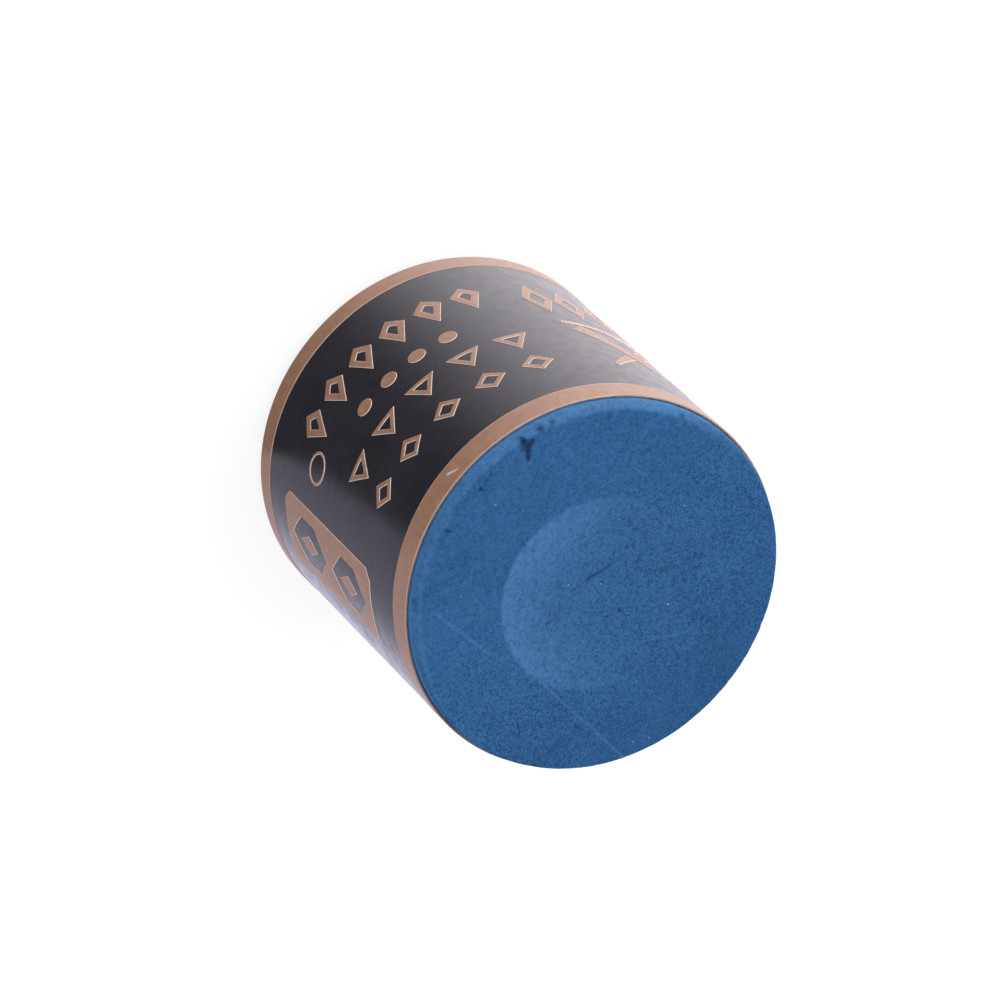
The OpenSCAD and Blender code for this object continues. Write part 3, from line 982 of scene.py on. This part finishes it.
def label_material():
    """Black coated paper: satin varnish, faint mottling, handling marks, specks of chalk, a raw edge."""
    material, g, mm = new_material("black_label_paper")
    z = g.parts(mm)[2]
    fibre = g.noise(mm, 5.0, 3.0, 0.6)
    peel = g.noise(mm, 1.5, 2.0, 0.5)
    clouds = g.noise(mm, 0.25, 2.0, 0.5)
    rubbed = g.ramp(g.noise(mm, 0.9, 3.0, 0.6, 0.4), 0.52, 0.80)
    black, soft_black = (0.0180, 0.0168, 0.0228, 1), (0.0235, 0.0215, 0.0300, 1)
    handled = (0.050, 0.045, 0.055, 1)
    chalk_dust = (0.10, 0.19, 0.34, 1)
    brown_core, blue_core = (0.34, 0.23, 0.17, 1), (0.10, 0.19, 0.36, 1)
    colour = g.mix(g.ramp(clouds, 0.3, 0.7), black, soft_black)
    colour = g.mix(g.times(rubbed, 0.16), colour, handled)

    specks = g.cells(mm, 0.95)
    near_chalk = g.ramp(z, LABEL_TOP - 7.0, LABEL_TOP - 0.5, 0.10, 1.0)
    speck = g.times(g.ramp(specks, 0.085, 0.045), g.ramp(g.noise(mm, 0.7, 0.0), 0.60, 0.66))
    speck = g.times(speck, near_chalk)
    colour = g.mix(g.times(speck, 0.75), colour, chalk_dust)
    edge = g.ramp(g.attribute("cut_edge"), 0.2, 0.8)
    core = g.mix(g.ramp(fibre, 0.42, 0.58), brown_core, blue_core)
    colour = g.mix(g.times(edge, 0.85), colour, core)

    rough = g.plus(g.ramp(peel, 0.3, 0.7, 0.25, 0.31), g.times(rubbed, 0.07))
    rough = g.plus(rough, g.times(speck, 0.4))
    height = g.plus(peel, g.times(fibre, 0.22))
    normal = g.bump(height, 0.010 * MM, 0.55)
    surface(g, {"Base Color": colour, "Roughness": rough, "IOR": 1.5, "Specular IOR Level": 0.5,
                "Normal": normal})
    return material


def foil_material():
    """Stamped copper foil: satin metal with fine lines round the chalk, and a painted highlight on its
    raised rims.
    """
    material, g, mm = new_material("copper_foil")
    # Angle in radians and height in mm, so the same noise is long round the chalk and short up it
    wrapped = g.add("ShaderNodeCombineXYZ", {0: g.turn(mm), 1: g.parts(mm)[2]}).outputs[0]
    lines = g.noise(wrapped, 9.0, 3.0, 0.6)
    blotch = g.noise(mm, 2.4, 4.0, 0.65)
    wear = g.ramp(g.noise(mm, 3.2, 2.0, 0.6), 0.64, 0.76)
    rim = g.attribute("rim")
    deep, copper, pale = (0.300, 0.138, 0.076, 1), (0.346, 0.170, 0.098, 1), (0.40, 0.232, 0.155, 1)
    dull, bright = (0.24, 0.135, 0.095, 1), (0.97, 0.80, 0.71, 1)
    colour = g.mix(g.ramp(lines, 0.3, 0.7), deep, copper)
    colour = g.mix(g.ramp(blotch, 0.40, 0.66, 0.0, 0.42), colour, pale)
    colour = g.mix(g.times(wear, 0.22), colour, dull)
    # Painted highlight on the raised rims
    colour = g.mix(g.times(rim, 0.9), colour, bright)
    rough = g.plus(g.ramp(lines, 0.3, 0.7, 0.44, 0.54), g.times(wear, 0.12))
    rough = g.math("SUBTRACT", rough, g.times(rim, 0.12))
    height = g.plus(g.times(lines, 0.6), blotch)
    surface(g, {"Base Color": colour, "Metallic": 0.12, "Roughness": rough, "IOR": 1.5,
                "Specular IOR Level": 0.9, "Coat Weight": 0.18, "Coat Roughness": 0.30,
                "Normal": g.bump(height, 0.005 * MM, 0.6)})
    return material


def glue_material():
    """Dried paste, seen only as a thin line at the seam and edges."""
    material, g, mm = new_material("dried_glue")
    clumps = g.noise(mm, 2.0, 3.0, 0.6)
    colour = g.mix(g.ramp(clumps, 0.3, 0.7), (0.42, 0.37, 0.26, 1), (0.62, 0.57, 0.44, 1))
    surface(g, {"Base Color": colour, "Roughness": g.ramp(clumps, 0.3, 0.7, 0.30, 0.5),
                "Subsurface Weight": 0.1, "Normal": g.bump(clumps, 0.01 * MM, 0.6)})
    return material


# ---------------------------------------------------------------- stage, light and camera

def tent_reflection(g, shader, direction, card_turn):
    """What a glossy surface sees of the light tent: a wide bright side, and a dark gap at the front.

    The bright card on the right is placed by card_turn, all else by the direction of sight.
    """
    z = g.parts(direction)[2]
    turn = g.math("DEGREES", g.turn(direction))
    # What each side of the tent adds, from the angle where it starts to the angle where it is full
    sides = [
        g.ramp(turn, 10.0, -90.0, 0.0, 2.0),
        g.ramp(turn, -95.0, -150.0, 0.0, -0.5),
        g.ramp(card_turn, 49.0, 54.0, 0.0, 0.5),
        g.ramp(turn, 105.0, 172.0, 0.0, 1.0),
    ]
    seen = 0.05  # the gap
    for side in sides:
        seen = g.plus(side, seen)
    seen = g.times(seen, g.ramp(z, -0.65, -0.25, 1.0, 0.62))
    overhead = g.ramp(z, 0.0, 0.35)
    strength = g.add("ShaderNodeMix", {0: overhead, 2: seen, 3: 1.1}, data_type="FLOAT").outputs[0]
    left = g.mix(g.ramp(turn, -110.0, -170.0), (1.0, 0.955, 1.0, 1), (1.0, 0.965, 1.08, 1))
    tint = g.mix(g.ramp(turn, 0.0, 45.0), left, (0.97, 0.94, 1.16, 1))
    return g.add(shader, {"Color": tint, "Strength": strength}).outputs[0]


def build_world():
    """White light tent. Glossy surfaces see its bright side and its dark gap instead."""
    world = bpy.data.worlds.new("light_tent")
    world.use_nodes = True
    bpy.context.scene.world = world
    g = Graph(world.node_tree)
    direction = g.add("ShaderNodeTexCoord").outputs["Generated"]
    path = g.add("ShaderNodeLightPath").outputs
    plain = g.add("ShaderNodeBackground", {"Color": (1.0, 0.995, 0.985, 1), "Strength": 0.74})
    card_turn = g.math("DEGREES", g.turn(direction))
    mirrored = tent_reflection(g, "ShaderNodeBackground", direction, card_turn)
    backdrop = g.add("ShaderNodeBackground", {"Color": (1.0, 1.0, 1.0, 1), "Strength": 1.0})
    mixed = g.blend(path["Is Glossy Ray"], plain.outputs[0], mirrored)
    mixed = g.blend(path["Is Camera Ray"], mixed, backdrop.outputs[0])
    g.add("ShaderNodeOutputWorld", {"Surface": mixed})


FLOOR_SIZE = 3.0  # metres


def build_floor():
    """Pale floor. Glossy surfaces see the tent in it instead, which keeps the label black."""
    mesh = bpy.data.meshes.new("floor")
    half = FLOOR_SIZE / 2
    corners = [(-half, -half, 0), (half, -half, 0), (half, half, 0), (-half, half, 0)]
    mesh.from_pydata(corners, [], [(0, 1, 2, 3)])
    add_object("floor", mesh)
    material, g, mm = new_material("pale_floor")
    speckle = g.noise(mm, 0.05, 2.0)
    colour = g.mix(speckle, (0.93, 0.93, 0.925, 1), (0.96, 0.96, 0.955, 1))
    matte = g.add("ShaderNodeBsdfDiffuse", {"Color": colour}).outputs[0]
    path = g.add("ShaderNodeLightPath").outputs
    burnt_out = g.add("ShaderNodeEmission", {"Strength": 1.06}).outputs[0]
    reach = g.add("ShaderNodeVectorMath", {0: mm}, operation="LENGTH").outputs["Value"]
    geometry = g.add("ShaderNodeNewGeometry").outputs
    incoming = geometry["Incoming"]
    # Seen by the camera, the floor burns out to white, less so close beside the chalk
    beside = g.ramp(g.parts(incoming)[2], 0.1, 0.8, 0.35, 0.78)
    exposure = g.ramp(reach, LABEL_R, 1.7 * LABEL_R, beside, 0.95)
    shown = g.blend(exposure, matte, burnt_out)
    matte = g.blend(path["Is Camera Ray"], matte, shown)
    card_turn = g.math("DEGREES", g.turn(mm))
    towards = g.scaled(incoming, (-1.0,) * 3)
    mirrored = tent_reflection(g, "ShaderNodeEmission", towards, card_turn)
    mixed = g.blend(path["Is Glossy Ray"], matte, mirrored)
    clear = g.add("ShaderNodeBsdfTransparent").outputs[0]
    mixed = g.blend(geometry["Backfacing"], mixed, clear)
    g.add("ShaderNodeOutputMaterial", {"Surface": mixed})
    mesh.materials.append(material)


def away_from_chalk(azimuth, elevation):
    """Direction out from the chalk, for angles in degrees from its front and from the floor."""
    a, e = math.radians(azimuth), math.radians(elevation)
    return Vector((math.sin(a) * math.cos(e), -math.cos(a) * math.cos(e), math.sin(e)))


def add_light(name, azimuth, elevation, distance, size, power):
    """Soft square light that faces the chalk. Lengths in metres, power in watts."""
    light = bpy.data.lights.new(name, "AREA")
    light.shape = "SQUARE"
    light.size = size
    light.energy = power
    lamp = add_object(name, light)
    away = away_from_chalk(azimuth, elevation)
    lamp.location = away * distance + Vector((0, 0, CHALK_H * MM / 2))
    lamp.rotation_euler = away.to_track_quat("Z", "Y").to_euler()
    lamp.visible_camera = False


# Angles in degrees, lengths in mm
CAMERA_AZIMUTH = 6.95
CAMERA_ELEVATION = 56.22
CAMERA_ROLL = -133.84
CAMERA_DISTANCE = 427.1
CAMERA_LENS = 282.7
CAMERA_AIM = np.array([0.887, -5.526, LABEL_TOP - 3.740])


def build_camera():
    """Long lens, turned on its side, so that the upright chalk appears to lie on its label."""
    data = bpy.data.cameras.new("camera")
    data.lens = CAMERA_LENS
    data.sensor_width = 36.0
    data.clip_start = 0.01
    data.clip_end = 20.0
    camera = add_object("camera", data)
    back = away_from_chalk(CAMERA_AZIMUTH, CAMERA_ELEVATION)
    level = back.to_track_quat("Z", "Y").to_matrix().to_4x4()
    roll = Matrix.Rotation(math.radians(-CAMERA_ROLL), 4, "Z")
    place = Vector(CAMERA_AIM * MM) + back * CAMERA_DISTANCE * MM
    camera.matrix_world = Matrix.Translation(place) @ level @ roll
    bpy.context.scene.camera = camera


# ---------------------------------------------------------------- build

bpy.context.scene.view_settings.view_transform = "Standard"

build_chalk(chalk_material())
build_label(label_material())
build_glue(glue_material())

foil = foil_material()
build_band("foil_band_top", "top_foil_band", foil)
build_band("foil_band_bottom", "bottom_foil_band", foil)
for mark in (lozenge_row, triangle_row, dot_row, point_row, ring_mark,
             tall_emblem, cues_emblem, rack_emblem):
    build_marks(mark.__name__ + "_marks", mark.__name__ + "_foil", mark(), foil)

build_world()
build_floor()
add_light("key", azimuth=-120, elevation=30, distance=0.55, size=0.26, power=1.5)
add_light("side", azimuth=-68, elevation=30, distance=0.55, size=0.26, power=1.2)
add_light("fill", azimuth=30, elevation=58, distance=0.6, size=0.40, power=0.45)
build_camera()
